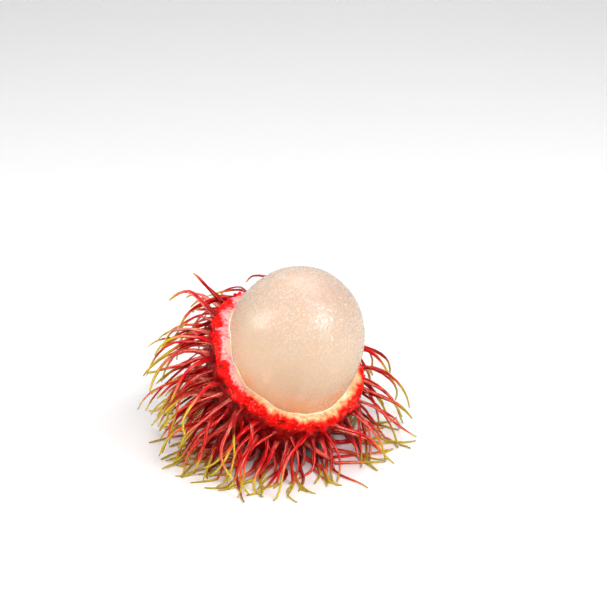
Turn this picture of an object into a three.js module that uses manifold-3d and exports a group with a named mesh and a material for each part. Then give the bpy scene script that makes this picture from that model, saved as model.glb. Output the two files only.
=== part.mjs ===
// A half-peeled rambutan: the lower cup of hairy rind with the pale aril still seated in it.
// Millimetres, +Z up. The fruit rests on a small flat spot centred on the origin and leans
// toward the right front, so the bare aril looks up and forward out of the torn rim.
import * as THREE from 'three';
import { mergeVertices } from 'three/addons/utils/BufferGeometryUtils.js';
import Module from 'manifold-3d';

// How the fruit stands.
const LEAN_DEG = 19.7;
const LEAN_TOWARD_DEG = -31.68;
const ARIL_CENTRE = [5.05, -3.12, 30.06];

// The aril, an egg with its longer end down in the cup.
const ARIL_RADIUS = 17.4;
const ARIL_TOP = 19.9;
const ARIL_BOTTOM = 26.3;

// The rind cup around it.
const SEAT_GAP = 0.35;
const RIND_WALL = 3.3;
const RIND_BOTTOM = 32.0;
const LIP_DROP = 0.5;
const LIP_CROWN = 0.25;
const BUMP_HEIGHT = 0.35;

// The torn rim: height along the fruit's own axis at each turn around it, degrees and mm.
const RIM_BEHIND_LEFT = { turn: -187, height: 1.5 };
const RIM_LEFT = { turn: -167, height: 0.2 };
const RIM_LEFT_FRONT = { turn: -147, height: -4.5 };
const RIM_FRONT_FALL = { turn: -122, height: -8.1 };
const RIM_FRONT_LOW = { turn: -78, height: -10.7 };
const RIM_FRONT_RIGHT = { turn: -40, height: -10.3 };
const RIM_RIGHT_STEP = { turn: -18, height: -6.5 };
const RIM_RIGHT = { turn: -5, height: -7.0 };
const RIM_RIGHT_BACK = { turn: 15, height: -6.0 };
const RIM_BACK_RISE = { turn: 40, height: -3.0 };
const RIM_BACK_RIGHT = { turn: 70, height: 1.0 };
const RIM_BACK = { turn: 100, height: 2.2 };
const RIM_BACK_DIP = { turn: 130, height: 0.9 };
const RIM_BACK_LEFT = { turn: 152, height: 1.5 };
const RIM_RAGGED = 0.12;

// The soft spines.
const SPINE_SITES = 520;
const SPINE_SEED = 4003;
const SPINE_CHANCES = 11;
const SPINE_SCATTER = 1.8;
const SPINE_CROWN = 8.0;
const SPINE_CLEAR_OF_RIM = 1.7;
const SPINE_CLEAR_IN_FRONT = 1.7;
const SPINE_FRONT_TURN_DEG = -78;
const SPINE_CLEAR_OF_TABLE = 1.6;
const SPINE_LENGTH = 16.5;
const SPINE_LENGTH_SPREAD = 8.0;
const SPINE_SHORT_SHARE = 0.1;
const SPINE_SHORT_SCALE = 0.6;
const SPINE_HAIR_THIN_SHARE = 0.38;
const SPINE_ROOT = 0.9;
const SPINE_BASE_RADIUS = 0.42;
const SPINE_BASE_SPREAD = 0.36;
const SPINE_SLIM_BASE_RADIUS = 0.58;
const SPINE_TIP_RADIUS = 0.235;
const SPINE_SPLAY = 1.1;
const SPINE_DROOP = 0.035;
const SPINE_DROOP_SPREAD = 0.075;
const SPINE_SWEEP_LEFT = 0.014;
const SPINE_BOW = 0.035;
const SPINE_WAVE = 0.11;
const SPINE_WAVES = 1.3;
const SPINE_HOOK = 0.75;
const SPINE_NOD = 0.45;
const SPINE_STEPS = 24;
const TABLE_LIFT = 0.03;

// Facet counts.
const ARIL_TURNS = 40;
const ARIL_RINGS = 20;
const RIND_TURNS = 40;
const RIND_INNER_RINGS = 9;
const RIND_OUTER_RINGS = 10;
const SPINE_SIDES = 3;
const SPINE_RINGS = 5;

// Surfaces.
const ARIL_COLOUR = 0xe9cdb2;
const ARIL_ROUGHNESS = 0.35;
const RIND_COLOUR = 0xb81c22;
const RIND_ROUGHNESS = 0.5;

const TAU = Math.PI * 2;
const TURN_STEP = 2.399963;

const leanAxis = new THREE.Vector3(
  -Math.sin(THREE.MathUtils.degToRad(LEAN_TOWARD_DEG)),
  Math.cos(THREE.MathUtils.degToRad(LEAN_TOWARD_DEG)),
  0,
);
const lean = new THREE.Quaternion().setFromAxisAngle(leanAxis, THREE.MathUtils.degToRad(LEAN_DEG));
const centre = new THREE.Vector3(...ARIL_CENTRE);
const frontTurn = THREE.MathUtils.degToRad(SPINE_FRONT_TURN_DEG);

const RIM = [
  RIM_BEHIND_LEFT,
  RIM_LEFT,
  RIM_LEFT_FRONT,
  RIM_FRONT_FALL,
  RIM_FRONT_LOW,
  RIM_FRONT_RIGHT,
  RIM_RIGHT_STEP,
  RIM_RIGHT,
  RIM_RIGHT_BACK,
  RIM_BACK_RISE,
  RIM_BACK_RIGHT,
  RIM_BACK,
  RIM_BACK_DIP,
  RIM_BACK_LEFT,
  { turn: RIM_BEHIND_LEFT.turn + 360, height: RIM_BEHIND_LEFT.height },
];

// Height of the torn rim at a turn around the fruit, eased between the named places.
function rimHeight(turn) {
  const first = RIM[0].turn;
  const degrees = THREE.MathUtils.radToDeg(turn);
  const at = THREE.MathUtils.euclideanModulo(degrees - first, 360) + first;
  let i = 0;
  while (at > RIM[i + 1].turn) {
    i += 1;
  }
  const share = (at - RIM[i].turn) / (RIM[i + 1].turn - RIM[i].turn);
  const eased = share * share * (3 - 2 * share);
  const ragged = Math.sin(9 * turn + 0.7) + 0.7 * Math.sin(14 * turn + 2.1) + 0.5 * Math.sin(23 * turn);
  return RIM[i].height + (RIM[i + 1].height - RIM[i].height) * eased + RIM_RAGGED * ragged;
}

// Radius of an egg with different half lengths above and below its widest place.
function eggRadius(height, radius, top, bottom) {
  const half = height < 0 ? bottom : top;
  return radius * Math.sqrt(Math.max(0, 1 - (height / half) ** 2));
}

const outerRadius = ARIL_RADIUS + SEAT_GAP + RIND_WALL;
const outerTop = ARIL_TOP + SEAT_GAP + RIND_WALL;

function rindOuter(height) {
  return eggRadius(height, outerRadius, outerTop, RIND_BOTTOM);
}

function rindInner(height) {
  return eggRadius(height, ARIL_RADIUS + SEAT_GAP, ARIL_TOP + SEAT_GAP, ARIL_BOTTOM + SEAT_GAP);
}

// A place on the fruit's own axes, carried to where the fruit stands.
function stand(point) {
  return point.applyQuaternion(lean).add(centre);
}

// One closed skin from rings running from a bottom pole to a top pole.
function closedSkin(bottom, rings, top) {
  const places = [bottom, ...rings.flat(), top];
  const around = rings[0].length;
  const faces = [];
  const last = places.length - 1;
  for (let i = 0; i < around; i += 1) {
    const j = (i + 1) % around;
    faces.push(0, 1 + j, 1 + i);
    for (let r = 0; r + 1 < rings.length; r += 1) {
      const low = 1 + r * around;
      const high = low + around;
      faces.push(low + i, low + j, high + j);
      faces.push(low + i, high + j, high + i);
    }
    const rim = 1 + (rings.length - 1) * around;
    faces.push(rim + i, rim + j, last);
  }
  const geometry = new THREE.BufferGeometry();
  const flat = places.flatMap((p) => [p.x, p.y, p.z]);
  geometry.setAttribute('position', new THREE.Float32BufferAttribute(flat, 3));
  geometry.setIndex(faces);
  return geometry;
}

function ringAt(count, place) {
  return Array.from({ length: count }, (_, i) => place((i / count) * TAU));
}

// The aril: a smooth egg.
function arilGeometry() {
  const rings = [];
  for (let r = 1; r < ARIL_RINGS; r += 1) {
    const angle = -Math.PI / 2 + (r / ARIL_RINGS) * Math.PI;
    const half = angle < 0 ? ARIL_BOTTOM : ARIL_TOP;
    const height = half * Math.sin(angle);
    const radius = ARIL_RADIUS * Math.cos(angle);
    rings.push(ringAt(ARIL_TURNS, (turn) => stand(new THREE.Vector3(
      radius * Math.cos(turn),
      radius * Math.sin(turn),
      height,
    ))));
  }
  const bottom = stand(new THREE.Vector3(0, 0, -ARIL_BOTTOM));
  const top = stand(new THREE.Vector3(0, 0, ARIL_TOP));
  return closedSkin(bottom, rings, top);
}

// The cup: up the knobbly outside, over the torn lip, and down the smooth seat of the aril.
function cupGeometry() {
  const rings = [];
  for (let r = 1; r <= RIND_OUTER_RINGS; r += 1) {
    rings.push(ringAt(RIND_TURNS, (turn) => {
      const lip = rimHeight(turn) - LIP_DROP;
      const angle = Math.asin(THREE.MathUtils.clamp(lip / (lip < 0 ? RIND_BOTTOM : outerTop), -1, 1));
      const a = -Math.PI / 2 + (r / RIND_OUTER_RINGS) * (angle + Math.PI / 2);
      const height = Math.sin(a) * (a < 0 ? RIND_BOTTOM : outerTop);
      const fade = Math.sin((r / RIND_OUTER_RINGS) * Math.PI);
      const bump = BUMP_HEIGHT * fade * Math.sin(11 * turn + 2.4 * r) * Math.cos(1.7 * r);
      const radius = rindOuter(height) + bump;
      return stand(new THREE.Vector3(radius * Math.cos(turn), radius * Math.sin(turn), height));
    }));
  }
  rings.push(ringAt(RIND_TURNS, (turn) => {
    const height = rimHeight(turn) + LIP_CROWN;
    const radius = (rindOuter(height) + rindInner(height)) / 2;
    return stand(new THREE.Vector3(radius * Math.cos(turn), radius * Math.sin(turn), height));
  }));
  for (let r = RIND_INNER_RINGS; r >= 1; r -= 1) {
    rings.push(ringAt(RIND_TURNS, (turn) => {
      const lip = rimHeight(turn);
      const bottomHalf = ARIL_BOTTOM + SEAT_GAP;
      const topHalf = ARIL_TOP + SEAT_GAP;
      const angle = Math.asin(lip / (lip < 0 ? bottomHalf : topHalf));
      const a = -Math.PI / 2 + (r / RIND_INNER_RINGS) * (angle + Math.PI / 2);
      const height = Math.sin(a) * (a < 0 ? bottomHalf : topHalf);
      const radius = rindInner(height);
      return stand(new THREE.Vector3(radius * Math.cos(turn), radius * Math.sin(turn), height));
    }));
  }
  const bottom = stand(new THREE.Vector3(0, 0, -RIND_BOTTOM));
  const seat = stand(new THREE.Vector3(0, 0, -ARIL_BOTTOM - SEAT_GAP));
  return closedSkin(bottom, rings, seat);
}

// A repeatable stream of even chances between 0 and 1.
function chances(seed) {
  let state = seed;
  return () => {
    state = (state * 16807) % 2147483647;
    return state / 2147483647;
  };
}

function spineBaseRadius(luck) {
  return SPINE_BASE_RADIUS + SPINE_BASE_SPREAD * luck[2];
}

// Where the spines grow: a spiral of evenly spaced sites over the outside of the cup. The
// hair-thin and the slim spines among them have no solid of their own.
function spineSites() {
  const chance = chances(SPINE_SEED);
  const bands = 400;
  const heights = [];
  const areas = [0];
  for (let i = 0; i <= bands; i += 1) {
    heights.push(-RIND_BOTTOM + ((SPINE_CROWN + RIND_BOTTOM) * i) / bands);
  }
  for (let i = 0; i < bands; i += 1) {
    const low = rindOuter(heights[i]);
    const high = rindOuter(heights[i + 1]);
    const slant = Math.hypot(heights[i + 1] - heights[i], high - low);
    areas.push(areas[i] + Math.PI * (low + high) * slant);
  }
  const sites = [];
  let band = 0;
  for (let k = 0; k < SPINE_SITES; k += 1) {
    const area = ((k + 0.5) / SPINE_SITES) * areas[bands];
    while (areas[band + 1] < area) {
      band += 1;
    }
    const share = (area - areas[band]) / (areas[band + 1] - areas[band]);
    const even = heights[band] + (heights[band + 1] - heights[band]) * share;
    const shift = (chance() - 0.5) * SPINE_SCATTER;
    const spin = ((chance() - 0.5) * SPINE_SCATTER) / Math.max(rindOuter(even + shift), 2);
    const luck = Array.from({ length: SPINE_CHANCES }, () => chance());
    const height = Math.max(even + shift, -RIND_BOTTOM + 0.02);
    const turn = k * TURN_STEP + spin;
    const radius = rindOuter(height);
    const half = height < 0 ? RIND_BOTTOM : outerTop;
    const root = stand(new THREE.Vector3(radius * Math.cos(turn), radius * Math.sin(turn), height));
    const away = new THREE.Vector3(
      (radius / outerRadius ** 2) * Math.cos(turn),
      (radius / outerRadius ** 2) * Math.sin(turn),
      height / half ** 2,
    );
    away.normalize().applyQuaternion(lean);
    const bare = SPINE_CLEAR_OF_RIM + SPINE_CLEAR_IN_FRONT * Math.max(0, Math.cos(turn - frontTurn));
    const covered = height > rimHeight(turn) - bare;
    const hairThin = luck[5] < SPINE_HAIR_THIN_SHARE;
    const slim = spineBaseRadius(luck) < SPINE_SLIM_BASE_RADIUS;
    if (!covered && !hairThin && !slim && root.z > SPINE_CLEAR_OF_TABLE) {
      sites.push({ root, away, luck });
    }
  }
  return sites;
}

// The line of one spine: out from the skin, waving and drooping, hooked at its tip, and laid
// along the table.
function spineLine({ root, away, luck }) {
  const short = luck[1] < SPINE_SHORT_SHARE ? SPINE_SHORT_SCALE : 1;
  const length = (SPINE_LENGTH + SPINE_LENGTH_SPREAD * luck[0]) * short + SPINE_ROOT;
  const base = spineBaseRadius(luck);
  const droop = SPINE_DROOP + SPINE_DROOP_SPREAD * luck[6];
  const bow = SPINE_BOW * (2 * luck[7] - 1);
  const hook = SPINE_HOOK * (2 * luck[9] - 1) ** 3;
  const nod = SPINE_NOD * (1.5 * luck[10] - 0.5) ** 3;
  const side = away.clone().cross(new THREE.Vector3(0, 0, 1)).normalize();
  const splay = new THREE.Vector3(luck[3] - 0.5, luck[4] - 0.5, luck[5] - 0.5);
  const heading = away.clone().addScaledVector(splay, SPINE_SPLAY).normalize();
  const at = root.clone().addScaledVector(away, -SPINE_ROOT);
  const step = length / SPINE_STEPS;
  const line = [];
  for (let i = 0; i <= SPINE_STEPS; i += 1) {
    const along = i / SPINE_STEPS;
    const radius = base + (SPINE_TIP_RADIUS - base) * along;
    line.push({ at: at.clone(), radius, heading: heading.clone() });
    heading.z -= (droop * (0.6 + 0.8 * along) + nod * along ** 4) * step;
    heading.x -= SPINE_SWEEP_LEFT * step;
    const wave = SPINE_WAVE * Math.sin(TAU * (SPINE_WAVES * along + luck[8]));
    heading.addScaledVector(side, (bow + hook * along ** 4 + wave) * step);
    heading.normalize();
    at.addScaledVector(heading, step);
    if (at.z < radius + TABLE_LIFT) {
      at.z = radius + TABLE_LIFT;
      heading.z = Math.max(heading.z, 0);
      heading.normalize();
    }
  }
  return line;
}

// One spine as a tapering closed spike.
function spineGeometry(line) {
  const rings = [];
  for (let r = 0; r < SPINE_RINGS; r += 1) {
    const { at, radius, heading } = line[Math.round((r / SPINE_RINGS) * SPINE_STEPS)];
    const across = new THREE.Vector3(0, 0, 1).cross(heading).normalize();
    const over = heading.clone().cross(across);
    rings.push(ringAt(SPINE_SIDES, (turn) => at.clone()
      .addScaledVector(across, radius * Math.cos(turn))
      .addScaledVector(over, radius * Math.sin(turn))));
  }
  const tip = line[SPINE_STEPS].at;
  return closedSkin(line[0].at, rings, tip);
}

const wasm = await Module();
wasm.setup();

function toSolid(geometry) {
  const welded = mergeVertices(geometry, 1e-5);
  return new wasm.Manifold(new wasm.Mesh({
    numProp: 3,
    vertProperties: new Float32Array(welded.attributes.position.array),
    triVerts: new Uint32Array(welded.index.array),
  }));
}

function toGeometry(solid) {
  const mesh = solid.getMesh();
  const geometry = new THREE.BufferGeometry();
  geometry.setAttribute('position', new THREE.BufferAttribute(new Float32Array(mesh.vertProperties), 3));
  geometry.setIndex(new THREE.BufferAttribute(new Uint32Array(mesh.triVerts), 1));
  geometry.computeVertexNormals();
  return geometry;
}

// The rind is grown as one piece: the cup with every spine, pressed flat where it meets the table.
function rindGeometry() {
  let rind = toSolid(cupGeometry());
  for (const site of spineSites()) {
    rind = rind.add(toSolid(spineGeometry(spineLine(site))));
  }
  const table = new THREE.BoxGeometry(160, 160, 40);
  table.translate(0, 0, -20);
  return toGeometry(rind.subtract(toSolid(table.deleteAttribute('uv').deleteAttribute('normal'))));
}

function part(name, geometry, colour, roughness) {
  const material = new THREE.MeshStandardMaterial({ color: colour, roughness, metalness: 0 });
  const mesh = new THREE.Mesh(geometry, material);
  mesh.name = name;
  return mesh;
}

const aril = arilGeometry();
aril.computeVertexNormals();

const rambutan = new THREE.Group();
rambutan.name = 'rambutan';
rambutan.add(part('rind', rindGeometry(), RIND_COLOUR, RIND_ROUGHNESS));
rambutan.add(part('aril', aril, ARIL_COLOUR, ARIL_ROUGHNESS));

export default rambutan;
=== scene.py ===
import math

import bpy
import numpy as np
from bpy.props import FloatProperty, FloatVectorProperty, IntProperty, PointerProperty
from mathutils import Matrix, Vector


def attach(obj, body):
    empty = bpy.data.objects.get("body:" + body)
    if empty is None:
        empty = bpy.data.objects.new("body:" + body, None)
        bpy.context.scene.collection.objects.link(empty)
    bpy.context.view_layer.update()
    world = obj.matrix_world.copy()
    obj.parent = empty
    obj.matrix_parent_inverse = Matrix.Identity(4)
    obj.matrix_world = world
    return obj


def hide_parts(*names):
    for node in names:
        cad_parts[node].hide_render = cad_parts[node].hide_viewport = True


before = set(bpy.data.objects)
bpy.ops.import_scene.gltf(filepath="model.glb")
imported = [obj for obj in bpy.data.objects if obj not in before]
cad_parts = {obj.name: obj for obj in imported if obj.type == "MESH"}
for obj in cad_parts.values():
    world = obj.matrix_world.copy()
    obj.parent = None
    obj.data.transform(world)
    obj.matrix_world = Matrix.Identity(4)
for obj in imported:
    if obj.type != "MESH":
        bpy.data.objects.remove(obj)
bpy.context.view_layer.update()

bl_info = {
    "name": "Half-peeled rambutan",
    "version": (1, 0, 0),
    "blender": (4, 5, 0),
    "location": "3D View > Sidebar > Rambutan",
    "description": "A rambutan with its upper rind torn away: pale aril, torn rim and soft spines",
    "category": "Add Mesh",
}

MM = 0.001
BODY = "root"

# The torn rim: turn around the fruit in degrees, height along its axis in millimetres.
RIM = (
    (-187.0, 1.5),
    (-167.0, 0.2),
    (-147.0, -4.5),
    (-122.0, -8.1),
    (-78.0, -10.7),
    (-40.0, -10.3),
    (-18.0, -6.5),
    (-5.0, -7.0),
    (15.0, -6.0),
    (40.0, -3.0),
    (70.0, 1.0),
    (100.0, 2.2),
    (130.0, 0.9),
    (152.0, 1.5),
    (173.0, 1.5),
)

# Ripples around the torn rim and along its frayed outer edge: count, start and share of each.
RIM_RIPPLES = ((9, 0.7, 1.0), (14, 2.1, 0.7), (23, 0.0, 0.5))
FRAYED_RIPPLES = ((19, 5.0, 1.0), (31, 1.0, 1.0), (47, 2.3, 0.8), (73, 0.4, 0.6))

# Facet counts of the cup, the aril and one spine.
CUP_TURNS = 360
CUP_OUTER_ROWS = 108
CUP_TORN_ROWS = 24
CUP_INNER_ROWS = 14
CUP_ROWS = CUP_OUTER_ROWS + CUP_TORN_ROWS + CUP_INNER_ROWS
CUP_EDGE_ROW = CUP_OUTER_ROWS + CUP_TORN_ROWS
ARIL_TURNS = 400
ARIL_ROWS = 240
SPINE_SIDES = 5
SPINE_STATIONS = (0, 0.05, 0.13, 0.24, 0.36, 0.48, 0.59, 0.69, 0.78, 0.86, 0.93, 0.985, 1)
SPINE_STEPS = 24

# The aril: how far above the rim it is bare, the share of its height where it starts to pale,
# and how far from its widest ring a point must be to be drawn out.
BARE_FROM = (0.2 * MM, 3 * MM)
PALE_FROM = 0.3
OFF_WIDEST = 0.01 * MM

# The cup: how its rows crowd toward the rim and how the torn face curves up to its thin edge.
ROW_CROWDING = 0.9
FACE_CURVE = 1.5
EDGE_CURVE = 8

# Distances below the rim over which the knobs and the pits begin and the wet beads end, and how
# far down the skin counts as torn.
KNOBS_FROM = (0.3 * MM, 2 * MM)
PITS_FROM = (0.5 * MM, 2.5 * MM)
BEADS_TO = (2.2 * MM, 4.5 * MM)
TORN_REACH = 4 * MM

# Shares of the way across the torn face: where its beads end and its unevenness comes and goes.
FACE_BEADS_TO = (0.25, 0.85)
UNEVEN_FROM = (0, 0.15)
UNEVEN_TO = (0.8, 0.96)

# The spiral of the spines: its turn from site to site, the rings that measure the skin's area,
# how near it comes to the skin's lowest point, the least radius its scatter is turned on, and the
# side with the widest bare skin.
TURN_STEP = 2.399963
AREA_RINGS = 400
OFF_POLE = 0.02 * MM
NARROWEST = 2 * MM
FRONT_TURN = math.radians(-78.0)

# The generator of even chances, and the chances drawn for each spine, by what they decide. The
# one named splay_z also decides which spines are hair-thin.
CHANCE_FACTOR = 16807
CHANCE_RANGE = 2147483647
CHANCES = ("length", "stunted", "width", "splay_x", "splay_y", "splay_z",
           "limp", "bow", "sway", "hook", "nod")

# The line of a spine: how its droop grows, how late its tip hooks, and how often it sways.
DROOP_AT_ROOT = 0.6
DROOP_GROWTH = 0.8
TIP_LATENESS = 4
SWAYS = 1.3

# The body of a spine: its flared root, its blunt tip, its faint swellings, how flat it can be,
# and the share of its length that blends into the skin.
FLARE = 1.2
FLARE_START = 0.3 * MM
FLARE_REACH = 0.8 * MM
BLUNTNESS = 0.35
BLUNT_FROM = (0.93, 0.985)
SWELLINGS = 17
SWELLING_DEPTH = 0.1
SWELLING_SHIFT = 30
FLATTEST = 0.75
BLEND_SHARE = 0.05
OFF_TABLE = 0.01 * MM

# How far the fibres of the torn face and the grain of a spine spread over the surface.
FIBRE_DEPTH = 1.1 * MM
GRAIN_WIDTH = 0.45 * MM
GRAIN_LENGTH = 0.1

# Spread of the patterns in the flesh.
FLESH_CLOUDS = 7.0 * MM
FLESH_BLUSH = 4.5 * MM
# Spread of the pale grain, which also paints glints.
FLESH_GRAIN_AND_GLINTS = 0.36 * MM
FLESH_SHEEN = 4.0 * MM
FLESH_WET_DOTS = 0.42 * MM
FLESH_PORES = 0.7 * MM

# Spread of the patterns in the torn rim, and where its left side begins and is complete.
RIM_FIBRES = 0.5 * MM
RIM_CLUMPS = 2.2 * MM
RIM_TUFTS = 3.0 * MM
RIM_MOTTLE = 1.3 * MM
LEFT_SIDE = (-4.5 * MM, -10 * MM)

# Spread of the patterns in the skin and the spines.
SKIN_GRAIN = 1.2 * MM
SKIN_BLOTS = 1.7 * MM
SKIN_PAINTED_GLINTS = 0.6 * MM
SKIN_FUZZ = 0.45 * MM
SPINE_RIPENESS = 2.2 * MM
SPINE_RIDGES = 0.5 * MM
SPINE_GRAIN = 0.4 * MM

# Roughness of the spines, and depth of the grooves and pores that only the light shows.
SPINE_ROUGHNESS = 0.18
PORE_DEPTH = 0.3 * MM
FUZZ_DEPTH = 0.25 * MM
RIDGE_DEPTH = 0.4 * MM

# The soft light panels: their side of the fruit, distance and size in metres, and whether they
# light the fruit and show in its gloss.
PANELS = {
    "key": ((0.66, -0.20, 0.72), 0.55, 0.20, True, False),
    "left": ((-0.87, -0.20, 0.44), 0.55, 0.20, True, False),
    "top": ((0.0, 0.42, 0.91), 0.75, 0.25, True, True),
    "back": ((0.0, 0.93, 0.36), 0.90, 0.90, True, True),
    "front": ((0.05, -0.80, 0.60), 0.75, 0.40, True, False),
    "right_gloss": ((0.64, -0.52, 0.56), 0.55, 0.24, False, True),
    "top_gloss": ((0.12, 0.34, 0.93), 0.75, 0.32, False, True),
    "left_gloss": ((-0.87, -0.20, 0.44), 0.55, 0.16, False, True),
}
FLOOR_SIZE = 0.9
SENSOR_WIDTH = 36.0
NEAREST_SEEN = 0.01

# The sockets of a mix node that hold its two colours and its result.
MIX_FIRST = 6
MIX_SECOND = 7
MIX_RESULT = 2

# The least weight that a point needs to be raised, and the shortest vector that has a direction.
LEAST_WEIGHT = 0.002
SHORTEST = 1e-12


def mm(name, about, value):
    """A length property kept in metres and written in millimetres."""
    return FloatProperty(name=name, description=about, default=value * MM, unit="LENGTH",
                         precision=5)


def power(name, about, value):
    """The power of a light panel."""
    return FloatProperty(name=name, description=about, default=value, unit="POWER")


def tint(name, about, red, green, blue):
    """A colour property written as it is seen, from 0 to 255, and kept as light."""
    def light(value):
        share = value / 255
        return share / 12.92 if share <= 0.04045 else ((share + 0.055) / 1.055) ** 2.4
    return FloatVectorProperty(name=name, description=about, subtype="COLOR", size=3, min=0, max=1,
                               default=(light(red), light(green), light(blue)))


class RambutanShape(bpy.types.PropertyGroup):
    """Sizes of the aril and the rind cup."""

    lean: FloatProperty(name="Lean", description="How far the fruit leans from upright",
                        default=math.radians(19.7), unit="ROTATION")
    lean_toward: FloatProperty(name="Lean toward", description="The side it leans to, from +X",
                               default=math.radians(-31.68), unit="ROTATION")
    centre: FloatVectorProperty(name="Aril centre", description="The widest place's middle",
                                default=(5.05 * MM, -3.12 * MM, 30.06 * MM), subtype="TRANSLATION")
    aril_radius: mm("Aril radius", "Half the aril's width", 17.4)
    aril_top: mm("Aril top", "From its widest place to its top", 19.9)
    aril_bottom: mm("Aril bottom", "From its widest place to its bottom", 26.3)
    seat_gap: mm("Seat gap", "Room between the aril and the rind", 0.02)
    wall: mm("Rind wall", "Thickness of the rind at its torn rim", 3.61)
    rind_bottom: mm("Rind bottom", "From the widest place to the rind's bottom", 32.0)
    lip_drop: mm("Lip drop", "How far the rim's outer edge is torn below its inner edge", 0.5)
    lip_crown: mm("Lip crown", "How far the torn face swells", 0.35)
    lip_rise: mm("Lip rise", "Height of the thin inner edge that clings to the aril", 0.45)
    ragged: mm("Ragged rim", "Rise and fall of the torn rim", 0.12)
    frayed: mm("Frayed edge", "Rise and fall of the torn face's outer edge", 0.7)
    knob: mm("Knobs", "Height of the knob that each spine grows from", 0.8)
    knob_width: mm("Knob width", "Spread of each knob", 1.3)
    beads: mm("Beads", "Height of the torn tissue's wet beads", 0.7)
    bead_size: mm("Bead size", "Spread of the torn tissue's wet beads", 1.25)
    uneven: mm("Uneven face", "Height of the torn face's unevenness", 0.6)
    uneven_size: mm("Uneven size", "Spread of the torn face's unevenness", 0.8)
    pitted: mm("Pitted skin", "Height of the skin's unevenness", 0.5)
    pit_size: mm("Pit size", "Spread of the skin's unevenness", 1.7)
    swell: mm("Swell", "Height of the aril's broad unevenness", 0.3)
    swell_size: mm("Swell size", "Spread of the aril's broad unevenness", 7.0)
    pimples: mm("Pimples", "Height of the aril's fine pimples", 0.2)
    pimple_size: mm("Pimple size", "Spread of the aril's fine pimples", 0.66)


class RambutanSpines(bpy.types.PropertyGroup):
    """Number, place and size of the soft spines."""

    sites: IntProperty(name="Sites", description="Spiral sites over the whole skin", default=520)
    seed: IntProperty(name="Seed", description="Which fruit of the tree", default=4003)
    scatter: mm("Scatter", "How far a spine strays from its site", 1.8)
    crown: mm("Crown", "The highest place a spine could grow", 8.0)
    clear_of_rim: mm("Clear of rim", "Bare skin below the torn rim", 1.7)
    clear_in_front: mm("Clear in front", "How much more skin is bare in front", 1.7)
    clear_of_table: mm("Clear of table", "Bare skin above the table", 1.6)
    length: mm("Length", "The shortest full spine", 16.5)
    length_spread: mm("Length spread", "How much longer the longest one is", 8.0)
    short_share: FloatProperty(name="Short share", description="Share of stunted spines",
                               default=0.1, subtype="FACTOR")
    short_scale: FloatProperty(name="Short scale", description="Length of a stunted spine",
                               default=0.6, subtype="FACTOR")
    root: mm("Root", "Depth of the root in the skin", 0.9)
    base: mm("Base radius", "Radius of the thinnest spine's base", 0.49)
    base_spread: mm("Base spread", "How much thicker the thickest one is", 0.36)
    fine_share: FloatProperty(name="Fine share", description="Share of hair-thin spines",
                              default=0.38, subtype="FACTOR")
    fine_scale: FloatProperty(name="Fine scale", description="Thickness of a hair-thin spine",
                              default=0.68, subtype="FACTOR")
    tip: mm("Tip radius", "Radius at the blunt tip", 0.235)
    splay: FloatProperty(name="Splay", description="How far a spine strays from square to the skin",
                         default=1.1)
    droop: FloatProperty(name="Droop", description="Turn toward the ground for each millimetre",
                         default=0.035)
    droop_spread: FloatProperty(name="Droop spread", description="How much more the limpest droops",
                                default=0.075)
    sweep: FloatProperty(name="Sweep", description="Turn toward the left for each millimetre",
                         default=0.014)
    bow: FloatProperty(name="Bow", description="Even sideways bend for each millimetre",
                       default=0.035)
    wave: FloatProperty(name="Wave", description="Sideways sway along the spine", default=0.11)
    hook: FloatProperty(name="Hook", description="Sideways hook of the tip", default=0.75)
    nod: FloatProperty(name="Nod", description="Upward or downward hook of the tip", default=0.45)
    lift: mm("Lift", "How far a lying spine stays above the table", 0.03)


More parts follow.
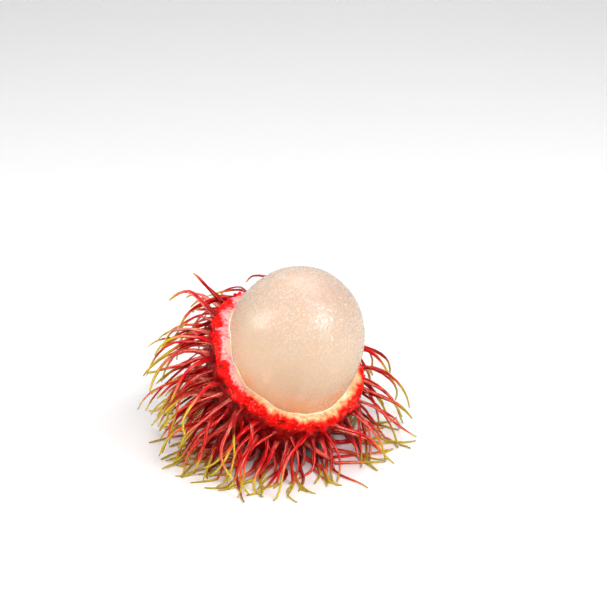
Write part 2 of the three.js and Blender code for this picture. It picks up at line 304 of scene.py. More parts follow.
class RambutanColours(bpy.types.PropertyGroup):
    """Colours of the flesh, the torn rim, the skin and the spines."""

    crown: tint("Crown", "The top of the aril", 208, 185, 170)
    flesh: tint("Flesh", "The middle of the aril", 210, 190, 170)
    flesh_low: tint("Low flesh", "The aril above the rim", 209, 184, 158)
    flesh_rim: tint("Flesh at the rim", "The aril where it meets the rim", 221, 172, 131)
    blush: tint("Blush", "Faint pink patches on the aril", 228, 196, 178)
    # Pale grain of the aril that also paints glints: near-white specks standing in for the wet
    # sparkle.
    grain: tint("Grain", "The pale fine grain of the aril", 255, 246, 238)
    # The pith edge colour also paints the highlight along the lip where it meets the aril.
    pith_edge: tint("Pith edge", "The torn face where it meets the aril", 255, 248, 232)
    pith: tint("Pith", "The inner part of the torn face", 248, 217, 176)
    pith_deep: tint("Deep pith", "The middle of the torn face", 244, 150, 104)
    fuzz: tint("Fuzz", "The pale pink fibres of the torn face's left side", 255, 214, 212)
    fuzz_deep: tint("Deep fuzz", "The pinker fibres among them", 246, 128, 140)
    fuzz_edge: tint("Fuzz edge", "The left side's inner edge", 252, 214, 182)
    torn_red: tint("Torn red", "The wet red tissue under the rim", 250, 4, 8)
    # Wet tissue: orange that is partly painted highlight on the beads, pale painted glints, and
    # painted shade in the pits.
    torn_orange_highlight: tint("Torn orange", "The brightest beads of the wet tissue", 250, 62, 38)
    torn_painted_glint: tint("Torn glint", "The fine pale dots of the wet tissue", 255, 130, 112)
    torn_pit_shade: tint("Torn pit", "The pits of the wet tissue", 112, 0, 8)
    skin: tint("Skin", "The rind's skin", 176, 3, 10)
    # Painted shade: a near-black red that darkens patches of the skin as if shaded in its hollows.
    skin_shade: tint("Deep skin", "The skin in its hollows", 74, 0, 6)
    spine_root: tint("Spine root", "A spine where it leaves the skin", 160, 4, 14)
    spine_middle: tint("Spine middle", "A spine along its length", 220, 20, 34)
    spine_turn: tint("Spine turn", "Where red turns to yellow", 232, 122, 70)
    spine_tip: tint("Spine tip", "The outer part of a spine", 208, 192, 66)
    spine_end: tint("Spine end", "The very end of a spine", 120, 100, 40)
    # Pale stripes of painted highlight along the spines and dark stripes of painted shade, which
    # also tint randomly paler or darker spines.
    spine_pale_and_highlight: tint("Spine ridge", "The pale ridges along a spine", 254, 176, 154)
    spine_dark_and_shade: tint("Spine groove", "The dark grooves along a spine", 84, 0, 8)
    rind_gloss: tint("Rind gloss", "The tint of the gloss on the rind", 255, 180, 160)
    floor: tint("Floor", "The plain pale floor", 246, 246, 246)


class RambutanStage(bpy.types.PropertyGroup):
    """The camera and the lights."""

    elevation: FloatProperty(name="Elevation", description="Camera above the horizon",
                             default=math.radians(24.0), unit="ROTATION")
    distance: mm("Distance", "From the aril's centre to the camera", 600.0)
    lens: FloatProperty(name="Lens", description="Focal length", default=140.2, unit="CAMERA")
    right_of_aril: mm("Right", "The view's centre right of the aril's", 2.03)
    above_aril: mm("Above", "The view's centre above the aril's", 10.8)
    key: power("Key light", "Power of the high right panel", 1.45)
    left: power("Left light", "Power of the left panel", 1.4)
    top: power("Top light", "Power of the overhead panel", 1.2)
    front: power("Front light", "Power of the broad front panel", 3.3)
    back: power("Back light", "Power of the broad panel behind", 1.6)
    right_gloss: power("Right gloss", "Power of the panel that shows in the right gloss", 3.4)
    top_gloss: power("Top gloss", "Power of the panel that shows in the top gloss", 0.7)
    left_gloss: power("Left gloss", "Power of the panel that shows in the left gloss", 1.8)
    surround: FloatProperty(name="Surround", description="Brightness of the pale room", default=0.1)
    exposure: FloatProperty(name="Exposure", description="Stops above plain exposure", default=0.2)
    gamma: FloatProperty(name="Gamma", description="Below 1 deepens the shadows", default=0.8)


# ---------------------------------------------------------------- shape of the fruit


def shape():
    """The sizes that are set in the scene."""
    return bpy.context.scene.rambutan_shape


def standing(fruit):
    """The matrix that carries the fruit's own axes to where it stands."""
    axis = Vector((-math.sin(fruit.lean_toward), math.cos(fruit.lean_toward), 0))
    return Matrix.Translation(Vector(fruit.centre)) @ Matrix.Rotation(fruit.lean, 4, axis)


def stand(fruit, points):
    """Points on the fruit's own axes, carried to where it stands."""
    matrix = np.array(standing(fruit))
    return points @ matrix[:3, :3].T + matrix[:3, 3]


def ease(value, low, high):
    """A smooth step from 0 at low to 1 at high."""
    share = np.clip((value - low) / (high - low), 0, 1)
    return share * share * (3 - 2 * share)


def ripple(turn, ripples):
    """The height of several ripples around the fruit at each turn, where 1 is one full ripple."""
    return sum(share * np.sin(count * turn + start) for count, start, share in ripples)


def rim_height(fruit, turn):
    """Height of the torn rim at each turn around the fruit, in metres."""
    turns = np.array([place[0] for place in RIM])
    heights = np.array([place[1] for place in RIM]) * MM
    at = (np.degrees(turn) - turns[0]) % 360 + turns[0]
    i = np.clip(np.searchsorted(turns, at, side="right") - 1, 0, len(turns) - 2)
    share = ease(at, turns[i], turns[i + 1])
    ragged = fruit.ragged * ripple(turn, RIM_RIPPLES)
    return heights[i] + (heights[i + 1] - heights[i]) * share + ragged


def egg_radius(height, radius, top, bottom):
    """Radius of an egg with different half lengths above and below its widest place."""
    half = np.where(height < 0, bottom, top)
    return radius * np.sqrt(np.clip(1 - (height / half) ** 2, 0, 1))


def inner_sizes(fruit):
    """Radius and half heights of the cup's inside."""
    gap = fruit.seat_gap
    return fruit.aril_radius + gap, fruit.aril_top + gap, fruit.aril_bottom + gap


def outer_sizes(fruit):
    """Radius and half heights of the cup's outside."""
    radius, top, _ = inner_sizes(fruit)
    return radius + fruit.wall, top + fruit.wall, fruit.rind_bottom


def profile(sizes, lip, share):
    """Radius and height on an egg, from its bottom pole at share 0 to the lip's height at 1."""
    radius, top, bottom = sizes
    end = np.arcsin(np.clip(lip / np.where(lip < 0, bottom, top), -1, 1))
    angle = -math.pi / 2 + share * (end + math.pi / 2)
    height = np.sin(angle) * np.where(angle < 0, bottom, top)
    return egg_radius(height, radius, top, bottom), height


# ---------------------------------------------------------------- spines


def chances(seed):
    """A repeatable stream of even chances between 0 and 1."""
    state = seed
    while True:
        state = state * CHANCE_FACTOR % CHANCE_RANGE
        yield state / CHANCE_RANGE


def spine_sites(fruit, spines):
    """Root, direction away from the skin, and the chances for each spine of the spiral."""
    radius, top, bottom = outer_sizes(fruit)
    chance = chances(spines.seed)
    heights = np.linspace(-bottom, spines.crown, AREA_RINGS + 1)
    radii = egg_radius(heights, radius, top, bottom)
    areas = np.pi * (radii[1:] + radii[:-1]) * np.hypot(np.diff(heights), np.diff(radii))
    total = np.concatenate([[0], np.cumsum(areas)])
    roots, aways, lucks = [], [], []
    for site in range(spines.sites):
        even = np.interp((site + 0.5) / spines.sites * total[-1], total, heights)
        height = even + (next(chance) - 0.5) * spines.scatter
        around = float(egg_radius(height, radius, top, bottom))
        turn = site * TURN_STEP + (next(chance) - 0.5) * spines.scatter / max(around, NARROWEST)
        luck = [next(chance) for _ in CHANCES]
        height = max(height, -bottom + OFF_POLE)
        around = float(egg_radius(height, radius, top, bottom))
        half = bottom if height < 0 else top
        place = np.array([around * math.cos(turn), around * math.sin(turn), height])
        away = place / np.array([radius, radius, half]) ** 2
        root = stand(fruit, place[None])[0]
        front = max(0, math.cos(turn - FRONT_TURN))
        bare = spines.clear_of_rim + spines.clear_in_front * front
        covered = height > rim_height(fruit, np.array([turn]))[0] - bare
        if covered or root[2] < spines.clear_of_table:
            continue
        away = np.array(standing(fruit).to_3x3()) @ (away / np.linalg.norm(away))
        roots.append(root)
        aways.append(away)
        lucks.append(luck)
    return np.array(roots), np.array(aways), np.array(lucks)


def unit(vectors):
    """The vectors' directions, each 1 long."""
    return vectors / np.maximum(np.linalg.norm(vectors, axis=-1, keepdims=True), SHORTEST)


def spine_lines(spines, roots, aways, lucks):
    """The bowed centre lines: out from the skin, drooping, swept left, laid along the table."""
    luck = dict(zip(CHANCES, lucks.T))
    short = np.where(luck["stunted"] < spines.short_share, spines.short_scale, 1)
    length = (spines.length + spines.length_spread * luck["length"]) * short + spines.root
    fine = np.where(luck["splay_z"] < spines.fine_share, spines.fine_scale, 1)
    base = (spines.base + spines.base_spread * luck["width"]) * fine
    droop = spines.droop + spines.droop_spread * luck["limp"]
    bow = spines.bow * (2 * luck["bow"] - 1)
    hook = spines.hook * (2 * luck["hook"] - 1) ** 3
    nod = spines.nod * (1.5 * luck["nod"] - 0.5) ** 3
    splay = np.stack([luck["splay_x"], luck["splay_y"], luck["splay_z"]], 1) - 0.5
    side = unit(np.cross(aways, [0, 0, 1]))
    heading = unit(aways + spines.splay * splay)
    at = roots - spines.root * aways
    step = length / SPINE_STEPS
    turn_step = step / MM
    places, radii = [], []
    for i in range(SPINE_STEPS + 1):
        along = i / SPINE_STEPS
        radius = base + (spines.tip - base) * along
        places.append(at.copy())
        radii.append(radius)
        late = along ** TIP_LATENESS
        sag = droop * (DROOP_AT_ROOT + DROOP_GROWTH * along)
        heading[:, 2] -= (sag + nod * late) * turn_step
        heading[:, 0] -= spines.sweep * turn_step
        wave = spines.wave * np.sin(2 * math.pi * (SWAYS * along + luck["sway"]))
        heading += side * ((bow + hook * late + wave) * turn_step)[:, None]
        heading = unit(heading)
        at = at + heading * step[:, None]
        low = at[:, 2] < radius + spines.lift
        at[low, 2] = (radius + spines.lift)[low]
        heading[low, 2] = np.maximum(heading[low, 2], 0)
        heading = unit(heading)
    return np.stack(places, 1), np.stack(radii, 1), length


def across_line(line):
    """Two directions square to a spine's line at each of its steps, carried along untwisted."""
    heading = unit(np.gradient(line, axis=0))
    beside = np.empty_like(heading)
    beside[0] = unit(np.cross([0, 0, 1], heading[0]))
    for i in range(1, len(heading)):
        beside[i] = unit(beside[i - 1] - heading[i] * (beside[i - 1] @ heading[i]))
    return beside, np.cross(heading, beside)


def bent_spine(pattern, line, radius, out, luck):
    """The points of a straight spine of unit size, bent along its line and given its thickness."""
    share = np.clip(pattern[:, 2], 0, 1)
    steps = np.linspace(0, 1, SPINE_STEPS + 1)
    beside, over = across_line(line)
    spot, aside, above = (
        np.stack([np.interp(share, steps, table[:, axis]) for axis in range(3)], 1)
        for table in (line, beside, over)
    )
    blunt = 1 - BLUNTNESS * ease(share, *BLUNT_FROM)
    flare = 1 + FLARE * np.exp(-np.clip(out + FLARE_START, 0, None) / FLARE_REACH)
    thick = np.interp(share, steps, radius) * flare * blunt
    swelling = np.sin(share * SWELLINGS + luck["length"] * SWELLING_SHIFT)
    thick = thick * (1 + SWELLING_DEPTH * swelling)
    flat = FLATTEST + (1 - FLATTEST) * luck["width"]
    spot = spot + aside * (pattern[:, 0] * thick)[:, None]
    spot = spot + above * (pattern[:, 1] * thick * flat)[:, None]
    spot[:, 2] = np.maximum(spot[:, 2], OFF_TABLE)
    return spot


# ---------------------------------------------------------------- rind cup


def torn_share(row):
    """The share of the way across the torn face, from its outer edge to the aril."""
    return np.clip((row - CUP_OUTER_ROWS) / CUP_TORN_ROWS, 0, 1)


def cup_profile(fruit, row, lip, outer_lip):
    """Radius and height of the cup's points: up its outside, over the torn face, down inside."""
    outer_radius, outer_height = profile(outer_sizes(fruit), outer_lip, 1.0)
    inner_radius, inner_height = profile(inner_sizes(fruit), lip, 1.0)
    up = np.clip(row / CUP_OUTER_ROWS, 0, 1)
    radius, height = profile(outer_sizes(fruit), outer_lip, up ** ROW_CROWDING)
    down = np.clip((CUP_ROWS - row) / CUP_INNER_ROWS, 0, 1)
    seat_radius, seat_height = profile(inner_sizes(fruit), lip, down)
    across = torn_share(row)
    face_radius = outer_radius + (inner_radius - outer_radius) * across
    rise = 1 - (1 - across) ** FACE_CURVE
    face_height = outer_height + (inner_height - outer_height) * rise
    face_height = face_height + fruit.lip_crown * np.sin(math.pi * across)
    face_height = face_height + fruit.lip_rise * (across ** EDGE_CURVE - across)
    outside = row <= CUP_OUTER_ROWS
    inside = row >= CUP_EDGE_ROW
    radius = np.where(outside, radius, np.where(inside, seat_radius, face_radius))
    height = np.where(outside, height, np.where(inside, seat_height, face_height))
    return radius, height, outer_height


def knob_shares(places, roots, width):
    """How much of its full height the knob of the nearest spine has at each point."""
    knob = np.zeros(len(places))
    for root in roots:
        gap = np.linalg.norm(places - root, axis=1)
        knob = np.maximum(knob, np.exp(-(gap / width) ** 2))
    return knob


# ---------------------------------------------------------------- mesh helpers


def fresh_object(name):
    """Names the object just added, which is alone and active."""
    piece = bpy.context.object
    piece.name = name
    piece.data.name = name
    return piece


def deselect():
    """Leaves edit mode and selects nothing."""
    if bpy.context.object and bpy.context.object.mode != "OBJECT":
        bpy.ops.object.mode_set(mode="OBJECT")
    bpy.ops.object.select_all(action="DESELECT")


def activate(piece):
    """Selects only the piece and works on it."""
    deselect()
    piece.select_set(True)
    bpy.context.view_layer.objects.active = piece


def choose(piece, chosen):
    """Opens the piece in edit mode with only the chosen points selected."""
    activate(piece)
    bpy.ops.object.mode_set(mode="EDIT")
    bpy.ops.mesh.select_mode(type="VERT")
    bpy.ops.mesh.select_all(action="DESELECT")
    bpy.ops.object.mode_set(mode="OBJECT")
    piece.data.vertices.foreach_set("select", chosen)
    bpy.ops.object.mode_set(mode="EDIT")


def places_of(piece):
    """The places of the piece's points."""
    places = np.empty(len(piece.data.vertices) * 3, np.float32)
    piece.data.vertices.foreach_get("co", places)
    return places.reshape(-1, 3).astype(float)


def set_places(piece, places):
    """Moves the piece's points to the given places."""
    piece.data.vertices.foreach_set("co", np.ascontiguousarray(places, np.float32).ravel())
    piece.data.update()


def set_values(piece, **values):
    """Keeps named values for each point, which the material can read."""
    for name, value in values.items():
        attribute = piece.data.attributes.get(name)
        attribute = attribute or piece.data.attributes.new(name, "FLOAT", "POINT")
        each = np.broadcast_to(value, len(piece.data.vertices))
        attribute.data.foreach_set("value", np.ascontiguousarray(each, np.float32))


def set_vectors(piece, name, vectors):
    """Keeps one vector for each point, which the material can read."""
    attribute = piece.data.attributes.get(name)
    attribute = attribute or piece.data.attributes.new(name, "FLOAT_VECTOR", "POINT")
    attribute.data.foreach_set("vector", np.ascontiguousarray(vectors, np.float32).ravel())


def set_weights(piece, name, weights):
    """A vertex group that holds the points whose weight is above nothing."""
    group = piece.vertex_groups.new(name=name)
    for i in np.flatnonzero(weights > LEAST_WEIGHT):
        group.add([int(i)], float(weights[i]), "REPLACE")


def roughen(piece, name, kind, size, height, weights, depth=2):
    """Raises the surface by a texture of the given spread and height, where the weights allow."""
    texture = bpy.data.textures.new(name, kind)
    texture.noise_scale = size
    if kind == "CLOUDS":
        texture.noise_depth = depth
    set_weights(piece, name, weights)
    activate(piece)
    displace = piece.modifiers.new(name, "DISPLACE")
    displace.texture = texture
    displace.texture_coords = "LOCAL"
    displace.direction = "NORMAL"
    displace.strength = height
    displace.mid_level = 0.5
    displace.vertex_group = name
    bpy.ops.object.modifier_apply(modifier=name)
    piece.vertex_groups.clear()


def finish_piece(piece, material, node):
    """Smooths the piece, gives it its material and sets it in the frame."""
    activate(piece)
    bpy.ops.object.shade_smooth()
    piece.data.materials.clear()
    piece.data.materials.append(material)
    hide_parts(node)
    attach(piece, BODY)


# ---------------------------------------------------------------- material helpers


class Nodes:
    """A small hand for laying out a node material."""

    def __init__(self, name):
        self.material = bpy.data.materials.new(name)
        self.material.use_nodes = True
        self.tree = self.material.node_tree
        self.shader = next(node for node in self.tree.nodes if node.type == "BSDF_PRINCIPLED")

    def add(self, kind, inputs=(), **settings):
        """A new node with its inputs filled or linked."""
        node = self.tree.nodes.new(kind)
        for key, value in settings.items():
            setattr(node, key, value)
        for key, value in dict(inputs).items():
            self.put(node.inputs[key], value)
        return node

    def put(self, socket, value):
        """Links a socket to the input, or gives it a number, a colour or a vector."""
        if isinstance(value, bpy.types.NodeSocket):
            self.tree.links.new(value, socket)
        elif hasattr(value, "__len__") and len(value) == 3 and socket.type == "RGBA":
            socket.default_value = (*value, 1)
        else:
            socket.default_value = value

    def shade(self, inputs):
        """Fills or links the shader's inputs by name."""
        for name, value in inputs.items():
            self.put(self.shader.inputs[name], value)

    def place(self):
        """Where a point is in the object's own space."""
        return self.add("ShaderNodeTexCoord").outputs["Object"]

    def value(self, name):
        """The value kept for each point under the given name."""
        return self.add("ShaderNodeAttribute", attribute_name=name).outputs["Fac"]

    def vector(self, name):
        """The vector kept for each point under the given name."""
        return self.add("ShaderNodeAttribute", attribute_name=name).outputs["Vector"]

    def around(self, value, spread):
        """A value between 0 and 1, moved to lie evenly about 0 with the given spread."""
        return self.math("MULTIPLY", self.math("SUBTRACT", value, 0.5), spread)

    def math(self, operation, first, second):
        """The result of one sum on two values."""
        return self.add("ShaderNodeMath", {0: first, 1: second}, operation=operation).outputs[0]

    def noise(self, size, detail, rough, seed, place=None):
        """Noise with features of the given size in metres."""
        node = self.add("ShaderNodeTexNoise",
                        {"Vector": place or self.place(), "Scale": 1 / size, "Detail": detail,
                         "Roughness": rough, "W": seed},
                        noise_dimensions="4D")
        return node.outputs["Fac"]

    def span(self, value, low, high, out_low=0.0, out_high=1.0):
        """A smooth step from out_low where the value is low to out_high where it is high."""
        node = self.add("ShaderNodeMapRange", {"Value": value, "From Min": low, "From Max": high,
                                               "To Min": out_low, "To Max": out_high},
                        interpolation_type="SMOOTHSTEP")
        return node.outputs["Result"]

    def mix(self, share, first, second):
        """The first colour where the share is 0, the second where it is 1."""
        node = self.add("ShaderNodeMix", data_type="RGBA", clamp_factor=True)
        self.put(node.inputs[0], share)
        self.put(node.inputs[MIX_FIRST], first)
        self.put(node.inputs[MIX_SECOND], second)
        return node.outputs[MIX_RESULT]

    def ramp(self, value, stops):
        """Colours in turn as the value rises, each at its own stop."""
        node = self.add("ShaderNodeValToRGB", {"Fac": value})
        elements = node.color_ramp.elements
        while len(elements) < len(stops):
            elements.new(0.5)
        for element, (position, colour) in zip(elements, stops):
            element.position = position
            element.color = (*colour, 1)
        return node.outputs["Color"]

    def bump(self, height, distance, strength, normal=None):
        """Relief of the given depth in metres that only the light shows."""
        inputs = {"Height": height, "Distance": distance, "Strength": strength}
        if normal is not None:
            inputs["Normal"] = normal
        return self.add("ShaderNodeBump", inputs).outputs["Normal"]


def flesh_material(colours):
    """Moist translucent flesh: paler and pinker above, warm near the rim, finely pimpled, its upper
    part speckled with pale grain and painted glints.
    """
    nodes = Nodes("aril_flesh")
    cloud = nodes.around(nodes.noise(FLESH_CLOUDS, 2.0, 0.5, seed=1.0), 0.3)
    height = nodes.math("ADD", nodes.value("height"), cloud)
    colour = nodes.ramp(height, (
        (0.05, colours.flesh_rim),
        (0.30, colours.flesh_low),
        (0.65, colours.flesh),
        (1.0, colours.crown),
    ))
    blush = nodes.span(nodes.noise(FLESH_BLUSH, 3.0, 0.6, seed=4.0), 0.52, 0.75, 0.0, 0.4)
    colour = nodes.mix(blush, colour, colours.blush)
    # Pale grain that doubles as painted glints: near-white specks, kept to the upper part where the
    # light falls.
    grain = nodes.noise(FLESH_GRAIN_AND_GLINTS, 2.0, 0.7, seed=2.0)
    grain = nodes.span(grain, 0.50, 0.64, 0.0, 0.34)
    grain = nodes.math("MULTIPLY", grain, nodes.span(height, 0.45, 0.8))
    colour = nodes.mix(grain, colour, colours.grain)
    sheen_patch = nodes.noise(FLESH_SHEEN, 2.0, 0.5, seed=6.0)
    wet_dots = nodes.noise(FLESH_WET_DOTS, 1.0, 0.5, seed=14.0)
    pores = nodes.noise(FLESH_PORES, 1.0, 0.5, seed=3.0)
    nodes.shade({
        "Base Color": colour,
        "Roughness": nodes.span(sheen_patch, 0.3, 0.7, 0.3, 0.45),
        "IOR": 1.40,
        "Specular IOR Level": 0.25,
        "Subsurface Weight": nodes.span(nodes.value("bare"), 0.0, 0.5, 0.1, 0.85),
        "Subsurface Radius": (1.0, 0.6, 0.4),
        "Subsurface Scale": 6.0 * MM,
        "Coat Weight": nodes.span(wet_dots, 0.46, 0.58, 0.1, 1.0),
        "Coat Roughness": 0.12,
        "Coat IOR": 1.5,
        "Coat Normal": nodes.bump(pores, PORE_DEPTH, 1.0),
    })
    return nodes.material


def rim_colour(nodes, colours, torn):
    """Cream at the aril, then peach, then ragged red; on the left pale pink fibres instead; along
    the lip a broken near-white line, part pale pith and part painted highlight.
    """
    strand = nodes.vector("strand")
    fibres = nodes.noise(RIM_FIBRES, 3.0, 0.7, seed=7.0, place=strand)
    clumps = nodes.noise(RIM_CLUMPS, 2.0, 0.55, seed=8.0, place=strand)
    frayed = nodes.math("ADD", nodes.around(fibres, 0.5), nodes.around(clumps, 1.4))
    edge = nodes.math("ADD", torn, frayed)
    tufts = nodes.noise(RIM_TUFTS, 1.0, 0.5, seed=9.0, place=strand)
    streaks = nodes.math("ADD", nodes.around(fibres, 1.4), nodes.around(tufts, 2.6))
    mottle = nodes.noise(RIM_MOTTLE, 3.0, 0.6, seed=12.0)
    pith = nodes.mix(nodes.span(mottle, 0.50, 0.64, 0.0, 0.75), colours.pith, colours.pith_deep)
    pith = nodes.mix(nodes.span(mottle, 0.44, 0.34, 0.0, 0.6), pith, colours.pith_edge)
    fuzz = nodes.mix(nodes.span(fibres, 0.42, 0.6), colours.fuzz, colours.fuzz_deep)
    front = nodes.mix(nodes.span(edge, 0.30, 0.62), colours.pith_deep, pith)
    front = nodes.mix(nodes.span(edge, 0.16, 0.36), colours.torn_red, front)
    left_edge = nodes.math("ADD", torn, streaks)
    left = nodes.mix(nodes.span(left_edge, 0.84, 1.0), fuzz, colours.fuzz_edge)
    left = nodes.mix(nodes.span(left_edge, 0.20, 0.42), colours.torn_red, left)
    across = nodes.add("ShaderNodeSeparateXYZ", {"Vector": nodes.place()}).outputs["X"]
    colour = nodes.mix(nodes.span(across, *LEFT_SIDE), front, left)
    # A broken near-white line along the lip: part pale pith, part painted highlight where the lip
    # catches light.
    broken = nodes.span(clumps, 0.36, 0.56, 0.3, 1.0)
    lip_line_and_highlight = nodes.math("MULTIPLY", nodes.span(torn, 0.88, 0.97), broken)
    return nodes.mix(lip_line_and_highlight, colour, colours.pith_edge), edge


def skin_colour(nodes, colours, torn):
    """Deep crimson skin with patches of painted shade, brighter on the knobs, and at the rim wet
    bright beads: orange patches that are partly painted highlight, pale painted glints and dark
    pits of painted shade.
    """
    grain = nodes.noise(SKIN_GRAIN, 3.0, 0.65, seed=1.0)
    # Patches of painted shade darken the skin.
    skin = nodes.mix(nodes.span(grain, 0.34, 0.66), colours.skin_shade, colours.skin)
    skin = nodes.mix(nodes.span(nodes.value("knob"), 0.1, 0.9, 0.0, 0.6), skin, colours.spine_root)
    blots = nodes.noise(SKIN_BLOTS, 3.0, 0.6, seed=5.0)
    # Orange patches, partly orange tissue and partly painted highlight, and darker patches of
    # painted shade for the pits.
    wet = nodes.mix(nodes.span(blots, 0.45, 0.33), colours.torn_red, colours.torn_orange_highlight)
    wet = nodes.mix(nodes.span(blots, 0.50, 0.66, 0.0, 0.9), wet, colours.torn_pit_shade)
    # Pale specks of painted glints on the wet tissue.
    painted_glints = nodes.noise(SKIN_PAINTED_GLINTS, 2.0, 0.6, seed=11.0)
    wet = nodes.mix(nodes.span(painted_glints, 0.56, 0.66, 0.0, 0.6), wet, colours.torn_painted_glint)
    border = nodes.math("ADD", torn, nodes.around(blots, 0.9))
    return nodes.mix(nodes.span(border, -1.0, -0.45), skin, wet)


def spine_colour(nodes, colours):
    """Crimson from the root, turning sharply to olive yellow, ridged and grooved lengthwise, with
    pale stripes of painted highlight and dark stripes of painted shade; some spines paler or darker
    at random.
    """
    along = nodes.value("along")
    tone = nodes.value("tone")
    patches = nodes.noise(SPINE_RIPENESS, 2.0, 0.5, seed=3.0)
    uneven = nodes.math("ADD", nodes.around(nodes.value("luck"), 0.36), nodes.around(patches, 0.22))
    ripe = nodes.math("ADD", along, uneven)
    shaft = nodes.ramp(ripe, (
        (0.0, colours.spine_root),
        (0.22, colours.spine_middle),
        (0.52, colours.spine_middle),
        (0.68, colours.spine_turn),
        (0.78, colours.spine_tip),
        (1.0, colours.spine_tip),
    ))
    shaft = nodes.mix(nodes.span(along, 0.95, 1.0, 0.0, 0.8), shaft, colours.spine_end)
    ridges = nodes.noise(SPINE_RIDGES, 2.0, 0.55, seed=2.0, place=nodes.vector("strand"))
    grain = nodes.noise(SPINE_GRAIN, 2.0, 0.6, seed=13.0)
    # Pale stripes of painted highlight on the ridges, broken by a fine grain, and randomly paler
    # spines.
    pale = nodes.span(ridges, 0.52, 0.63, 0.0, 0.76)
    pale = nodes.math("ADD", pale, nodes.span(tone, 0.5, 1.0, 0.0, 0.45))
    pale = nodes.math("MULTIPLY", pale, nodes.span(grain, 0.38, 0.56, 0.4, 1.0))
    red = nodes.span(ripe, 0.80, 0.62, 0.25, 1.0)
    shaft = nodes.mix(nodes.math("MULTIPLY", pale, red), shaft, colours.spine_pale_and_highlight)
    # Dark stripes of painted shade in the grooves, and randomly darker spines.
    dark = nodes.span(ridges, 0.47, 0.34, 0.0, 0.7)
    dark = nodes.math("ADD", dark, nodes.span(tone, 0.35, 0.0, 0.0, 0.5))
    shaft = nodes.mix(nodes.math("MULTIPLY", dark, red), shaft, colours.spine_dark_and_shade)
    return shaft, ridges


def rind_material(colours):
    """Red knobbly skin, a torn rim from cream pith to red, and spines that end yellow-green."""
    nodes = Nodes("rind_skin")
    torn = nodes.value("torn")
    spine = nodes.value("spine")
    rim, edge = rim_colour(nodes, colours, torn)
    skin = skin_colour(nodes, colours, torn)
    shaft, ridges = spine_colour(nodes, colours)
    colour = nodes.mix(nodes.span(edge, 0.0, 0.24), skin, rim)
    colour = nodes.mix(spine, colour, shaft)
    wet = nodes.span(edge, 0.0, 0.3, 0.2, 0.42)
    rough = nodes.add("ShaderNodeMix", {0: spine, 2: wet, 3: SPINE_ROUGHNESS}).outputs[0]
    fuzz = nodes.noise(SKIN_FUZZ, 4.0, 0.7, seed=6.0)
    relief = nodes.bump(fuzz, FUZZ_DEPTH, 0.8)
    relief = nodes.bump(nodes.math("MULTIPLY", ridges, spine), RIDGE_DEPTH, 1.0, relief)
    nodes.shade({
        "Base Color": colour,
        "Roughness": rough,
        "IOR": 1.45,
        "Specular IOR Level": 0.6,
        "Specular Tint": colours.rind_gloss,
        "Subsurface Weight": 0.15,
        "Subsurface Radius": (1.0, 0.25, 0.15),
        "Subsurface Scale": 0.6 * MM,
        "Normal": relief,
    })
    return nodes.material


def floor_material(colours):
    """Plain pale paper."""
    nodes = Nodes("pale_floor")
    nodes.shade({"Base Color": colours.floor, "Roughness": 0.7})
    return nodes.material


# ---------------------------------------------------------------- operators


class RAMBUTAN_OT_aril(bpy.types.Operator):
    """Adds the pale aril: a sphere drawn out to an egg, slightly uneven, seated in the cup"""

    bl_idname = "rambutan.aril"
    bl_label = "Aril"

    def execute(self, context):
        fruit = shape()
        deselect()
        bpy.ops.mesh.primitive_uv_sphere_add(segments=ARIL_TURNS, ring_count=ARIL_ROWS,
                                             radius=fruit.aril_radius)
        piece = fresh_object("aril_flesh")
        for end, above in ((fruit.aril_top, 1), (fruit.aril_bottom, -1)):
            choose(piece, places_of(piece)[:, 2] * above > OFF_WIDEST)
            bpy.ops.transform.resize(value=(1, 1, end / fruit.aril_radius),
                                     center_override=(0, 0, 0))
            bpy.ops.object.mode_set(mode="OBJECT")
        places = places_of(piece)
        turn = np.arctan2(places[:, 1], places[:, 0])
        bare = ease(places[:, 2] - rim_height(fruit, turn), *BARE_FROM)
        roughen(piece, "aril_swell", "CLOUDS", fruit.swell_size, fruit.swell, bare, depth=1)
        roughen(piece, "aril_pimples", "CLOUDS", fruit.pimple_size, fruit.pimples, bare)
        places = places_of(piece)
        reach = (places[:, 2] + fruit.aril_bottom) / (fruit.aril_top + fruit.aril_bottom)
        set_places(piece, stand(fruit, places))
        height = np.clip((reach - PALE_FROM) / (1 - PALE_FROM), 0, 1)
        set_values(piece, height=height, bare=bare)
        finish_piece(piece, flesh_material(context.scene.rambutan_colours), "aril")
        return {"FINISHED"}


